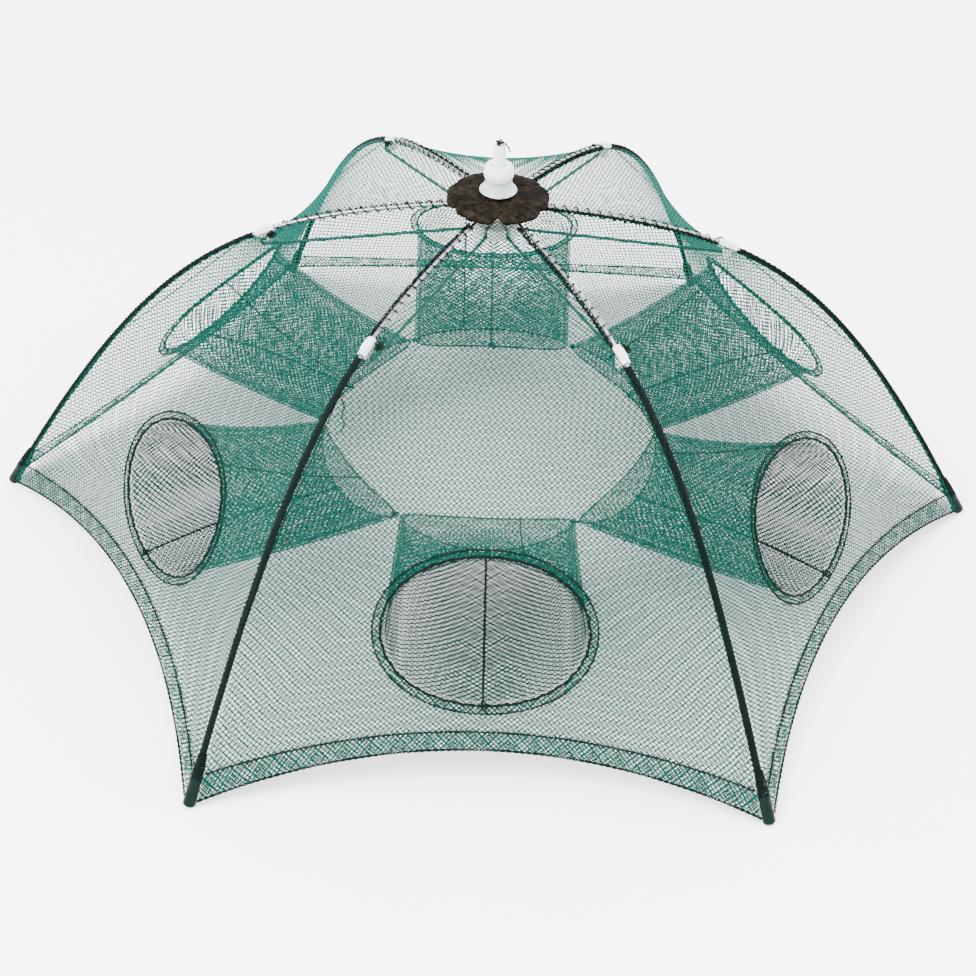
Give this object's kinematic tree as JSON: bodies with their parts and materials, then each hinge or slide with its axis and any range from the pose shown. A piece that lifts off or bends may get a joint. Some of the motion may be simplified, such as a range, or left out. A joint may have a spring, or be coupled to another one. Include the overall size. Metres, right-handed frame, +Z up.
{
  "type": "folding crab trap",
  "caption": "Umbrella-style folding net trap: bowed wire ribs on a sliding hub, mesh cover with round funnel entrances, and a flat floor net.",
  "frame": {"origin": "on the ground, on the axis of the hub", "axes": "+Z up along the stem, +X from the hub toward the tip of rib 1"},
  "size_m": [0.809, 0.702, 0.333],
  "materials": {
    "white_plastic": "satin moulded",
    "clear_plastic": "translucent moulded",
    "felt": "mottled felt",
    "spring_wire": "drawn wire",
    "cap_plastic": "moulded",
    "net": "knotless mesh",
    "double_net": "doubled knotless mesh",
    "twine": "twisted twine"
  },
  "bodies": {
    "hub": {"hub_skirt": "clear_plastic", "hub_collar": "white_plastic", "rib_hub": "white_plastic", "rib_hinge_wire": "spring_wire", "felt_patch": "felt"},
    "lift": {"lift_stem": "white_plastic", "runner": "white_plastic", "runner_hinge_wire": "spring_wire", "pull_knot": "twine"},
    "rib_arm_1": {"rib_1": "spring_wire", "tip_cap_1": "cap_plastic", "elbow_clip_1": "white_plastic"},
    "stretcher_arm_1": {"stretcher_1": "spring_wire"},
    "cover_1": {"canopy_panel_1": "net", "entrance_rim_1": "twine"},
    "tunnel_1": {"funnel_1": "double_net"},
    "floor_1": {"floor_net_1": "net"},
    "rib_arm_2": {"rib_2": "spring_wire", "tip_cap_2": "cap_plastic", "elbow_clip_2": "white_plastic"},
    "stretcher_arm_2": {"stretcher_2": "spring_wire"},
    "cover_2": {"canopy_panel_2": "net", "entrance_rim_2": "twine"},
    "tunnel_2": {"funnel_2": "double_net"},
    "floor_2": {"floor_net_2": "net"},
    "rib_arm_3": {"rib_3": "spring_wire", "tip_cap_3": "cap_plastic", "elbow_clip_3": "white_plastic"},
    "stretcher_arm_3": {"stretcher_3": "spring_wire"},
    "cover_3": {"canopy_panel_3": "net", "entrance_rim_3": "twine"},
    "tunnel_3": {"funnel_3": "double_net"},
    "floor_3": {"floor_net_3": "net"},
    "rib_arm_4": {"rib_4": "spring_wire", "tip_cap_4": "cap_plastic", "elbow_clip_4": "white_plastic"},
    "stretcher_arm_4": {"stretcher_4": "spring_wire"},
    "cover_4": {"canopy_panel_4": "net", "entrance_rim_4": "twine"},
    "tunnel_4": {"funnel_4": "double_net"},
    "floor_4": {"floor_net_4": "net"},
    "rib_arm_5": {"rib_5": "spring_wire", "tip_cap_5": "cap_plastic", "elbow_clip_5": "white_plastic"},
    "stretcher_arm_5": {"stretcher_5": "spring_wire"},
    "cover_5": {"canopy_panel_5": "net", "entrance_rim_5": "twine"},
    "tunnel_5": {"funnel_5": "double_net"},
    "floor_5": {"floor_net_5": "net"},
    "rib_arm_6": {"rib_6": "spring_wire", "tip_cap_6": "cap_plastic", "elbow_clip_6": "white_plastic"},
    "stretcher_arm_6": {"stretcher_6": "spring_wire"},
    "cover_6": {"canopy_panel_6": "net", "entrance_rim_6": "twine"},
    "tunnel_6": {"funnel_6": "double_net"},
    "floor_6": {"floor_net_6": "net"}
  },
  "joints": [
    {"name": "runner_slide", "type": "slide", "parent": "hub", "child": "lift", "axis": [0, 0, 1], "range_m": [-0.27177, 0]},
    {"name": "rib_1_hinge", "type": "hinge", "parent": "hub", "child": "rib_arm_1", "pos_m": [0.013, 0, 0.281], "axis": [0, 1, 0], "range_deg": [0, 50.02]},
    {"name": "stretcher_1_hinge", "type": "hinge", "parent": "lift", "child": "stretcher_arm_1", "pos_m": [0.012, 0, 0.262], "axis": [0, 1, 0], "range_deg": [-68.24, 0]},
    {"name": "cover_1_fold", "type": "hinge", "parent": "hub", "child": "cover_1", "pos_m": [0.03464, 0.02, 0.282], "axis": [-0.5, 0.866, 0], "range_deg": [0, 56.02], "deforming": ["canopy_panel_1", "entrance_rim_1"]},
    {"name": "funnel_1_fold", "type": "hinge", "parent": "cover_1", "child": "tunnel_1", "pos_m": [0.23236, 0.13415, 0.1008], "axis": [-0.5, 0.866, 0], "range_deg": [0, 28.02], "deforming": ["funnel_1"]},
    {"name": "floor_1_fold", "type": "hinge", "parent": "rib_arm_1", "child": "floor_1", "pos_m": [0.262, 0, 0.014], "axis": [0, 1, 0], "range_deg": [0, 46.52], "deforming": ["floor_net_1"]},
    {"name": "rib_2_hinge", "type": "hinge", "parent": "hub", "child": "rib_arm_2", "pos_m": [0.0065, 0.01126, 0.281], "axis": [-0.866, 0.5, 0], "range_deg": [0, 50.02]},
    {"name": "stretcher_2_hinge", "type": "hinge", "parent": "lift", "child": "stretcher_arm_2", "pos_m": [0.006, 0.01039, 0.262], "axis": [-0.866, 0.5, 0], "range_deg": [-68.24, 0]},
    {"name": "cover_2_fold", "type": "hinge", "parent": "hub", "child": "cover_2", "pos_m": [0, 0.04, 0.282], "axis": [-1, 0, 0], "range_deg": [0, 56.02], "deforming": ["canopy_panel_2", "entrance_rim_2"]},
    {"name": "funnel_2_fold", "type": "hinge", "parent": "cover_2", "child": "tunnel_2", "pos_m": [0, 0.2683, 0.1008], "axis": [-1, 0, 0], "range_deg": [0, 28.02], "deforming": ["funnel_2"]},
    {"name": "floor_2_fold", "type": "hinge", "parent": "rib_arm_2", "child": "floor_2", "pos_m": [0.131, 0.2269, 0.014], "axis": [-0.866, 0.5, 0], "range_deg": [0, 46.52], "deforming": ["floor_net_2"]},
    {"name": "rib_3_hinge", "type": "hinge", "parent": "hub", "child": "rib_arm_3", "pos_m": [-0.0065, 0.01126, 0.281], "axis": [-0.866, -0.5, 0], "range_deg": [0, 50.02]},
    {"name": "stretcher_3_hinge", "type": "hinge", "parent": "lift", "child": "stretcher_arm_3", "pos_m": [-0.006, 0.01039, 0.262], "axis": [-0.866, -0.5, 0], "range_deg": [-68.24, 0]},
    {"name": "cover_3_fold", "type": "hinge", "parent": "hub", "child": "cover_3", "pos_m": [-0.03464, 0.02, 0.282], "axis": [-0.5, -0.866, 0], "range_deg": [0, 56.02], "deforming": ["canopy_panel_3", "entrance_rim_3"]},
    {"name": "funnel_3_fold", "type": "hinge", "parent": "cover_3", "child": "tunnel_3", "pos_m": [-0.23236, 0.13415, 0.1008], "axis": [-0.5, -0.866, 0], "range_deg": [0, 28.02], "deforming": ["funnel_3"]},
    {"name": "floor_3_fold", "type": "hinge", "parent": "rib_arm_3", "child": "floor_3", "pos_m": [-0.131, 0.2269, 0.014], "axis": [-0.866, -0.5, 0], "range_deg": [0, 46.52], "deforming": ["floor_net_3"]},
    {"name": "rib_4_hinge", "type": "hinge", "parent": "hub", "child": "rib_arm_4", "pos_m": [-0.013, 0, 0.281], "axis": [0, -1, 0], "range_deg": [0, 50.02]},
    {"name": "stretcher_4_hinge", "type": "hinge", "parent": "lift", "child": "stretcher_arm_4", "pos_m": [-0.012, 0, 0.262], "axis": [0, -1, 0], "range_deg": [-68.24, 0]},
    {"name": "cover_4_fold", "type": "hinge", "parent": "hub", "child": "cover_4", "pos_m": [-0.03464, -0.02, 0.282], "axis": [0.5, -0.866, 0], "range_deg": [0, 56.02], "deforming": ["canopy_panel_4", "entrance_rim_4"]},
    {"name": "funnel_4_fold", "type": "hinge", "parent": "cover_4", "child": "tunnel_4", "pos_m": [-0.23236, -0.13415, 0.1008], "axis": [0.5, -0.866, 0], "range_deg": [0, 28.02], "deforming": ["funnel_4"]},
    {"name": "floor_4_fold", "type": "hinge", "parent": "rib_arm_4", "child": "floor_4", "pos_m": [-0.262, 0, 0.014], "axis": [0, -1, 0], "range_deg": [0, 46.52], "deforming": ["floor_net_4"]},
    {"name": "rib_5_hinge", "type": "hinge", "parent": "hub", "child": "rib_arm_5", "pos_m": [-0.0065, -0.01126, 0.281], "axis": [0.866, -0.5, 0], "range_deg": [0, 50.02]},
    {"name": "stretcher_5_hinge", "type": "hinge", "parent": "lift", "child": "stretcher_arm_5", "pos_m": [-0.006, -0.01039, 0.262], "axis": [0.866, -0.5, 0], "range_deg": [-68.24, 0]},
    {"name": "cover_5_fold", "type": "hinge", "parent": "hub", "child": "cover_5", "pos_m": [0, -0.04, 0.282], "axis": [1, 0, 0], "range_deg": [0, 56.02], "deforming": ["canopy_panel_5", "entrance_rim_5"]},
    {"name": "funnel_5_fold", "type": "hinge", "parent": "cover_5", "child": "tunnel_5", "pos_m": [0, -0.2683, 0.1008], "axis": [1, 0, 0], "range_deg": [0, 28.02], "deforming": ["funnel_5"]},
    {"name": "floor_5_fold", "type": "hinge", "parent": "rib_arm_5", "child": "floor_5", "pos_m": [-0.131, -0.2269, 0.014], "axis": [0.866, -0.5, 0], "range_deg": [0, 46.52], "deforming": ["floor_net_5"]},
    {"name": "rib_6_hinge", "type": "hinge", "parent": "hub", "child": "rib_arm_6", "pos_m": [0.0065, -0.01126, 0.281], "axis": [0.866, 0.5, 0], "range_deg": [0, 50.02]},
    {"name": "stretcher_6_hinge", "type": "hinge", "parent": "lift", "child": "stretcher_arm_6", "pos_m": [0.006, -0.01039, 0.262], "axis": [0.866, 0.5, 0], "range_deg": [-68.24, 0]},
    {"name": "cover_6_fold", "type": "hinge", "parent": "hub", "child": "cover_6", "pos_m": [0.03464, -0.02, 0.282], "axis": [0.5, 0.866, 0], "range_deg": [0, 56.02], "deforming": ["canopy_panel_6", "entrance_rim_6"]},
    {"name": "funnel_6_fold", "type": "hinge", "parent": "cover_6", "child": "tunnel_6", "pos_m": [0.23236, -0.13415, 0.1008], "axis": [0.5, 0.866, 0], "range_deg": [0, 28.02], "deforming": ["funnel_6"]},
    {"name": "floor_6_fold", "type": "hinge", "parent": "rib_arm_6", "child": "floor_6", "pos_m": [0.131, -0.2269, 0.014], "axis": [0.866, 0.5, 0], "range_deg": [0, 46.52], "deforming": ["floor_net_6"]}
  ],
  "couplings": [
    {"joint": "rib_1_hinge", "follows": "runner_slide", "rad_per_m": -3.2111},
    {"joint": "stretcher_1_hinge", "follows": "runner_slide", "rad_per_m": 4.3813},
    {"joint": "cover_1_fold", "follows": "runner_slide", "rad_per_m": -3.5964},
    {"joint": "funnel_1_fold", "follows": "runner_slide", "rad_per_m": -1.7982},
    {"joint": "floor_1_fold", "follows": "runner_slide", "rad_per_m": -2.9863},
    {"joint": "rib_2_hinge", "follows": "runner_slide", "rad_per_m": -3.2111},
    {"joint": "stretcher_2_hinge", "follows": "runner_slide", "rad_per_m": 4.3813},
    {"joint": "cover_2_fold", "follows": "runner_slide", "rad_per_m": -3.5964},
    {"joint": "funnel_2_fold", "follows": "runner_slide", "rad_per_m": -1.7982},
    {"joint": "floor_2_fold", "follows": "runner_slide", "rad_per_m": -2.9863},
    {"joint": "rib_3_hinge", "follows": "runner_slide", "rad_per_m": -3.2111},
    {"joint": "stretcher_3_hinge", "follows": "runner_slide", "rad_per_m": 4.3813},
    {"joint": "cover_3_fold", "follows": "runner_slide", "rad_per_m": -3.5964},
    {"joint": "funnel_3_fold", "follows": "runner_slide", "rad_per_m": -1.7982},
    {"joint": "floor_3_fold", "follows": "runner_slide", "rad_per_m": -2.9863},
    {"joint": "rib_4_hinge", "follows": "runner_slide", "rad_per_m": -3.2111},
    {"joint": "stretcher_4_hinge", "follows": "runner_slide", "rad_per_m": 4.3813},
    {"joint": "cover_4_fold", "follows": "runner_slide", "rad_per_m": -3.5964},
    {"joint": "funnel_4_fold", "follows": "runner_slide", "rad_per_m": -1.7982},
    {"joint": "floor_4_fold", "follows": "runner_slide", "rad_per_m": -2.9863},
    {"joint": "rib_5_hinge", "follows": "runner_slide", "rad_per_m": -3.2111},
    {"joint": "stretcher_5_hinge", "follows": "runner_slide", "rad_per_m": 4.3813},
    {"joint": "cover_5_fold", "follows": "runner_slide", "rad_per_m": -3.5964},
    {"joint": "funnel_5_fold", "follows": "runner_slide", "rad_per_m": -1.7982},
    {"joint": "floor_5_fold", "follows": "runner_slide", "rad_per_m": -2.9863},
    {"joint": "rib_6_hinge", "follows": "runner_slide", "rad_per_m": -3.2111},
    {"joint": "stretcher_6_hinge", "follows": "runner_slide", "rad_per_m": 4.3813},
    {"joint": "cover_6_fold", "follows": "runner_slide", "rad_per_m": -3.5964},
    {"joint": "funnel_6_fold", "follows": "runner_slide", "rad_per_m": -1.7982},
    {"joint": "floor_6_fold", "follows": "runner_slide", "rad_per_m": -2.9863}
  ]
}
